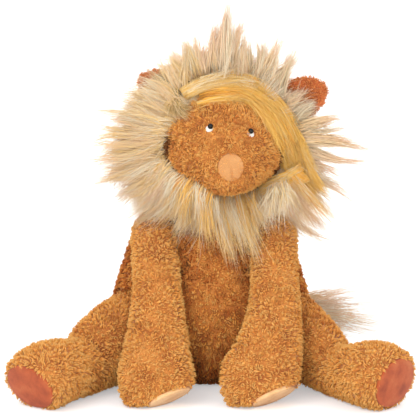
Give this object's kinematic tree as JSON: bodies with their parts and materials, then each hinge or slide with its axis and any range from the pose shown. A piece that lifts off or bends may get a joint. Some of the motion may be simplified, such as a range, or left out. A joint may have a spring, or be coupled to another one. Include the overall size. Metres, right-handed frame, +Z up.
{
  "type": "plush lion",
  "caption": "Sitting plush lion with a long mane, bead eyes, felt nose, suede soles and a tail tuft; head, arms, legs and tail turn at their seams.",
  "frame": {"origin": "on the floor under the middle of the lion, which is inside the flat of its seat", "axes": "+Z up, -Y the way the lion faces, +X towards the right of someone looking at its face"},
  "size_m": [0.343, 0.2722, 0.3237],
  "materials": {
    "plush": "short golden brown plush pile",
    "rust_lining": "fuzzy rust orange pile",
    "suede": "terracotta faux suede",
    "pale_pad": "pale faux suede",
    "nose_felt": "smooth felt",
    "mane_pile": "long soft pile, grey-olive at the roots and peach at the tips",
    "tuft_pile": "long soft peach pile",
    "stuffing": "polyester fibre fill",
    "pellet_bag": "cloth bag of plastic pellets",
    "bead": "gloss black",
    "white_felt": "white felt",
    "washer": "unpainted plastic"
  },
  "bodies": {
    "torso": {"torso_cover": "plush", "torso_stuffing": "stuffing", "torso_pellet_bag": "pellet_bag"},
    "neck": {"neck_stuffing": "stuffing"},
    "head": {"head_cover": "plush", "head_stuffing": "stuffing", "nose": "nose_felt", "mane": "mane_pile", "eye_bead_left": "bead", "eye_white_left": "white_felt", "eye_washer_left": "washer", "ear_back_left": "plush", "ear_lining_left": "rust_lining", "eye_bead_right": "bead", "eye_white_right": "white_felt", "eye_washer_right": "washer", "ear_back_right": "plush", "ear_lining_right": "rust_lining"},
    "arm_left": {"arm_left_cover": "plush", "arm_left_stuffing": "stuffing", "paw_pad_left": "pale_pad"},
    "leg_left": {"leg_left_cover": "plush", "leg_left_stuffing": "stuffing", "sole_pad_left": "suede"},
    "arm_right": {"arm_right_cover": "plush", "arm_right_stuffing": "stuffing", "paw_pad_right": "pale_pad"},
    "leg_right": {"leg_right_cover": "plush", "leg_right_stuffing": "stuffing", "sole_pad_right": "suede"},
    "tail": {"tail_core": "plush", "tail_tuft": "tuft_pile"}
  },
  "joints": [
    {"name": "neck_turn", "type": "hinge", "parent": "torso", "child": "neck", "pos_m": [0.00211, 0.01225, 0.151], "axis": [0, 0, 1], "range_deg": [-25, 25]},
    {"name": "head_nod", "type": "hinge", "parent": "neck", "child": "head", "pos_m": [0.00211, 0.01225, 0.151], "axis": [1, 0, 0], "range_deg": [-8, 8]},
    {"name": "arm_left_lift", "type": "hinge", "parent": "torso", "child": "arm_left", "pos_m": [-0.04694, -0.0047, 0.12705], "axis": [-1, 0, 0], "range_deg": [0, 40]},
    {"name": "arm_right_lift", "type": "hinge", "parent": "torso", "child": "arm_right", "pos_m": [0.05311, -0.0047, 0.12705], "axis": [-1, 0, 0], "range_deg": [0, 40]},
    {"name": "leg_left_lift", "type": "hinge", "parent": "torso", "child": "leg_left", "pos_m": [-0.05984, 0.00325, 0.04095], "axis": [-0.7707, 0.6372, 0], "range_deg": [0, 30]},
    {"name": "leg_right_lift", "type": "hinge", "parent": "torso", "child": "leg_right", "pos_m": [0.06211, 0.00325, 0.04005], "axis": [-0.7933, -0.6088, 0], "range_deg": [0, 30]},
    {"name": "tail_swing", "type": "hinge", "parent": "torso", "child": "tail", "pos_m": [0.01606, 0.08425, 0.03405], "axis": [0, 0, 1], "range_deg": [0, 35]}
  ]
}
